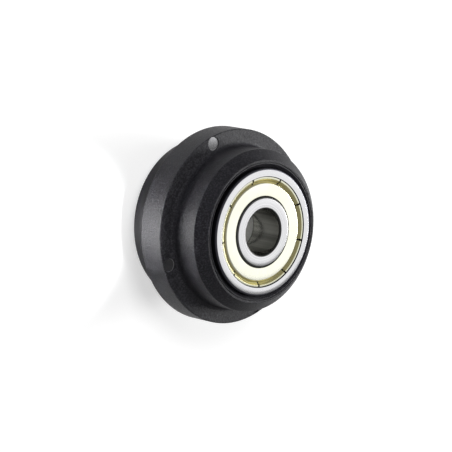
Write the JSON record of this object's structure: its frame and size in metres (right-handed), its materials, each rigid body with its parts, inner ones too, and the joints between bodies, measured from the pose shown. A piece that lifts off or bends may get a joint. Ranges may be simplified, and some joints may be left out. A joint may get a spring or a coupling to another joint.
{
  "type": "chain guide wheel",
  "caption": "Toothless black plastic chain guide wheel with a central flange between two bevelled hubs, turning on shielded ball bearings with a plain through bore for an axle.",
  "frame": {"origin": "centre of the rear bearing's outer face, where the wheel stands on its end", "axes": "+Z along the wheel's axis towards the face that the picture shows, X and Y across it"},
  "size_m": [0.034, 0.034, 0.0197],
  "materials": {
    "roller_plastic": "fine moulded grain",
    "ring_steel": "ground",
    "ball_steel": "polished",
    "cage_steel": "pressed",
    "shield_steel": "zinc plated, pale cream",
    "spacer_metal": "turned"
  },
  "bodies": {
    "axle_side": {"rear_inner_ring": "ring_steel", "spacer_tube": "spacer_metal", "front_inner_ring": "ring_steel"},
    "wheel": {"roller_body": "roller_plastic", "rear_outer_ring": "ring_steel", "front_outer_ring": "ring_steel", "rear_bearing_rear_shield": "shield_steel", "rear_bearing_front_shield": "shield_steel", "front_bearing_rear_shield": "shield_steel", "front_bearing_front_shield": "shield_steel"},
    "rear_cage": {"rear_cage_rear_half": "cage_steel", "rear_cage_front_half": "cage_steel"},
    "rear_ball_1": {"rear_ball_1": "ball_steel"},
    "rear_ball_2": {"rear_ball_2": "ball_steel"},
    "rear_ball_3": {"rear_ball_3": "ball_steel"},
    "rear_ball_4": {"rear_ball_4": "ball_steel"},
    "rear_ball_5": {"rear_ball_5": "ball_steel"},
    "rear_ball_6": {"rear_ball_6": "ball_steel"},
    "rear_ball_7": {"rear_ball_7": "ball_steel"},
    "front_cage": {"front_cage_rear_half": "cage_steel", "front_cage_front_half": "cage_steel"},
    "front_ball_1": {"front_ball_1": "ball_steel"},
    "front_ball_2": {"front_ball_2": "ball_steel"},
    "front_ball_3": {"front_ball_3": "ball_steel"},
    "front_ball_4": {"front_ball_4": "ball_steel"},
    "front_ball_5": {"front_ball_5": "ball_steel"},
    "front_ball_6": {"front_ball_6": "ball_steel"},
    "front_ball_7": {"front_ball_7": "ball_steel"}
  },
  "joints": [
    {"name": "wheel_spin", "type": "hinge", "parent": "axle_side", "child": "wheel", "pos_m": [0, 0, 0], "axis": [0, 0, 1], "continuous": true},
    {"name": "rear_cage_spin", "type": "hinge", "parent": "axle_side", "child": "rear_cage", "pos_m": [0, 0, 0.0035], "axis": [0, 0, 1], "continuous": true},
    {"name": "rear_ball_1_roll", "type": "hinge", "parent": "rear_cage", "child": "rear_ball_1", "pos_m": [0.00734, 0.00156, 0.0035], "axis": [0, 0, 1], "continuous": true},
    {"name": "rear_ball_2_roll", "type": "hinge", "parent": "rear_cage", "child": "rear_ball_2", "pos_m": [0.00335, 0.00671, 0.0035], "axis": [0, 0, 1], "continuous": true},
    {"name": "rear_ball_3_roll", "type": "hinge", "parent": "rear_cage", "child": "rear_ball_3", "pos_m": [-0.00315, 0.00681, 0.0035], "axis": [0, 0, 1], "continuous": true},
    {"name": "rear_ball_4_roll", "type": "hinge", "parent": "rear_cage", "child": "rear_ball_4", "pos_m": [-0.00729, 0.00178, 0.0035], "axis": [0, 0, 1], "continuous": true},
    {"name": "rear_ball_5_roll", "type": "hinge", "parent": "rear_cage", "child": "rear_ball_5", "pos_m": [-0.00593, -0.00459, 0.0035], "axis": [0, 0, 1], "continuous": true},
    {"name": "rear_ball_6_roll", "type": "hinge", "parent": "rear_cage", "child": "rear_ball_6", "pos_m": [-0.00011, -0.0075, 0.0035], "axis": [0, 0, 1], "continuous": true},
    {"name": "rear_ball_7_roll", "type": "hinge", "parent": "rear_cage", "child": "rear_ball_7", "pos_m": [0.00579, -0.00476, 0.0035], "axis": [0, 0, 1], "continuous": true},
    {"name": "front_cage_spin", "type": "hinge", "parent": "axle_side", "child": "front_cage", "pos_m": [0, 0, 0.0162], "axis": [0, 0, 1], "continuous": true},
    {"name": "front_ball_1_roll", "type": "hinge", "parent": "front_cage", "child": "front_ball_1", "pos_m": [0.0065, 0.00375, 0.0162], "axis": [0, 0, 1], "continuous": true},
    {"name": "front_ball_2_roll", "type": "hinge", "parent": "front_cage", "child": "front_ball_2", "pos_m": [0.00112, 0.00742, 0.0162], "axis": [0, 0, 1], "continuous": true},
    {"name": "front_ball_3_roll", "type": "hinge", "parent": "front_cage", "child": "front_ball_3", "pos_m": [-0.0051, 0.0055, 0.0162], "axis": [0, 0, 1], "continuous": true},
    {"name": "front_ball_4_roll", "type": "hinge", "parent": "front_cage", "child": "front_ball_4", "pos_m": [-0.00748, -0.00056, 0.0162], "axis": [0, 0, 1], "continuous": true},
    {"name": "front_ball_5_roll", "type": "hinge", "parent": "front_cage", "child": "front_ball_5", "pos_m": [-0.00422, -0.0062, 0.0162], "axis": [0, 0, 1], "continuous": true},
    {"name": "front_ball_6_roll", "type": "hinge", "parent": "front_cage", "child": "front_ball_6", "pos_m": [0.00221, -0.00717, 0.0162], "axis": [0, 0, 1], "continuous": true},
    {"name": "front_ball_7_roll", "type": "hinge", "parent": "front_cage", "child": "front_ball_7", "pos_m": [0.00698, -0.00274, 0.0162], "axis": [0, 0, 1], "continuous": true}
  ],
  "couplings": [
    {"joint": "rear_cage_spin", "follows": "wheel_spin", "ratio": 0.6323},
    {"joint": "rear_ball_1_roll", "follows": "wheel_spin", "ratio": 1.7573},
    {"joint": "rear_ball_2_roll", "follows": "wheel_spin", "ratio": 1.7573},
    {"joint": "rear_ball_3_roll", "follows": "wheel_spin", "ratio": 1.7573},
    {"joint": "rear_ball_4_roll", "follows": "wheel_spin", "ratio": 1.7573},
    {"joint": "rear_ball_5_roll", "follows": "wheel_spin", "ratio": 1.7573},
    {"joint": "rear_ball_6_roll", "follows": "wheel_spin", "ratio": 1.7573},
    {"joint": "rear_ball_7_roll", "follows": "wheel_spin", "ratio": 1.7573},
    {"joint": "front_cage_spin", "follows": "wheel_spin", "ratio": 0.6323},
    {"joint": "front_ball_1_roll", "follows": "wheel_spin", "ratio": 1.7573},
    {"joint": "front_ball_2_roll", "follows": "wheel_spin", "ratio": 1.7573},
    {"joint": "front_ball_3_roll", "follows": "wheel_spin", "ratio": 1.7573},
    {"joint": "front_ball_4_roll", "follows": "wheel_spin", "ratio": 1.7573},
    {"joint": "front_ball_5_roll", "follows": "wheel_spin", "ratio": 1.7573},
    {"joint": "front_ball_6_roll", "follows": "wheel_spin", "ratio": 1.7573},
    {"joint": "front_ball_7_roll", "follows": "wheel_spin", "ratio": 1.7573}
  ]
}
